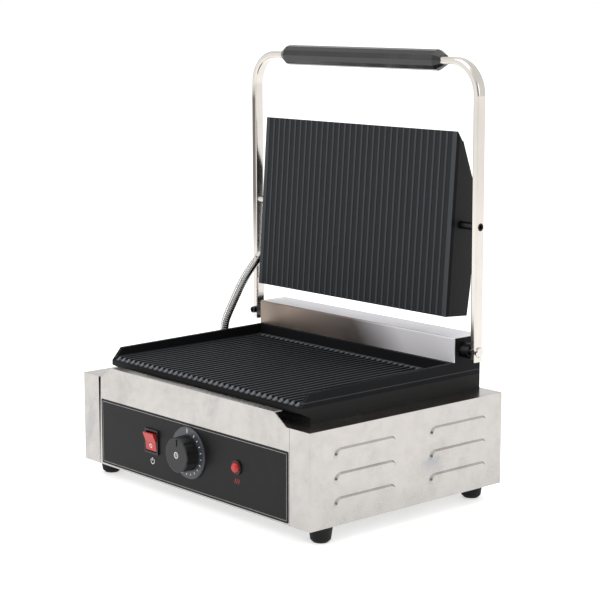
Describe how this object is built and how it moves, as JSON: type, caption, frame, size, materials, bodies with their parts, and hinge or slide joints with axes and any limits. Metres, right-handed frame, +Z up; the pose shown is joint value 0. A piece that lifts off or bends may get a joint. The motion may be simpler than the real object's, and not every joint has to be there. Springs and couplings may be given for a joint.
{
  "type": "contact grill",
  "caption": "Countertop contact grill with ribbed cast plates, a tilting upper plate on a sprung U-shaped handle, a thermostat knob, a rocker switch and a lamp.",
  "frame": {"origin": "on the standing surface, under the middle of the case", "axes": "+Z up, controls face -Y, +X to the user's right"},
  "size_m": [0.4148, 0.332, 0.513],
  "materials": {
    "stainless_satin": "satin",
    "stainless_polished": "polished",
    "galvanised_sheet": "dull",
    "label_film": "satin film",
    "foot_rubber": "matte",
    "plated_screw": "bright",
    "black_screw": "black oxide",
    "black_cast_iron": "matte enamel",
    "bush_brass": "machined",
    "spring_steel": "drawn",
    "element_steel": "oxidised",
    "mineral_wool": "fibrous",
    "dial_plastic": "satin print",
    "thermostat_metal": "dull",
    "black_plastic": "fine grain",
    "red_plastic": "translucent gloss",
    "white_plastic": "moulded",
    "conduit_steel": "ribbed",
    "grip_plastic": "semi-gloss",
    "pin_steel": "black oxide",
    "black_sheet": "matte enamel"
  },
  "bodies": {
    "base": {"left_side_cover": "stainless_satin", "right_side_cover": "stainless_satin", "front_panel": "stainless_satin", "rear_panel": "stainless_satin", "bottom_plate": "galvanised_sheet", "deck": "stainless_satin", "control_label": "label_film", "rubber_feet": "foot_rubber", "foot_screws": "plated_screw", "lower_plate": "black_cast_iron", "hinge_cover": "stainless_polished", "shaft_bushes": "bush_brass", "torsion_springs": "spring_steel", "spring_seats": "galvanised_sheet", "lower_heating_element": "element_steel", "lower_clamp_plate": "galvanised_sheet", "lower_insulation": "mineral_wool", "dial_ring": "dial_plastic", "thermostat_body": "thermostat_metal", "switch_body": "black_plastic", "lamp_body": "black_plastic", "lamp_lens": "red_plastic", "terminal_block": "white_plastic", "cable_gland": "black_plastic", "conduit_base_nut": "plated_screw", "power_conduit": "conduit_steel"},
    "handle": {"hinge_shaft": "stainless_polished", "spring_collars": "plated_screw", "handle_frame": "stainless_polished", "arm_clamp_screws": "black_screw", "shaft_spacers": "plated_screw", "handle_grip": "grip_plastic", "pivot_pins": "pin_steel"},
    "upper": {"upper_plate": "black_cast_iron", "upper_lid": "black_sheet", "upper_heating_element": "element_steel", "upper_clamp_plate": "galvanised_sheet", "upper_insulation": "mineral_wool", "conduit_elbow": "plated_screw"},
    "knob": {"thermostat_knob": "black_plastic", "thermostat_spindle": "plated_screw"},
    "rocker": {"rocker": "red_plastic"}
  },
  "joints": [
    {"name": "arm_hinge", "type": "hinge", "parent": "base", "child": "handle", "pos_m": [0, 0.118, 0.17382], "axis": [1, 0, 0], "range_deg": [0, 92], "deforming": ["power_conduit"]},
    {"name": "plate_tilt", "type": "hinge", "parent": "handle", "child": "upper", "pos_m": [0, 0.11725, 0.31682], "axis": [1, 0, 0], "range_deg": [-0.8, 4.8]},
    {"name": "thermostat_turn", "type": "hinge", "parent": "base", "child": "knob", "pos_m": [0.002, -0.16, 0.0655], "axis": [0, 1, 0], "range_deg": [0, 270]},
    {"name": "switch_rock", "type": "hinge", "parent": "base", "child": "rocker", "pos_m": [-0.067, -0.1504, 0.0655], "axis": [-1, 0, 0], "range_deg": [0, 14]}
  ]
}
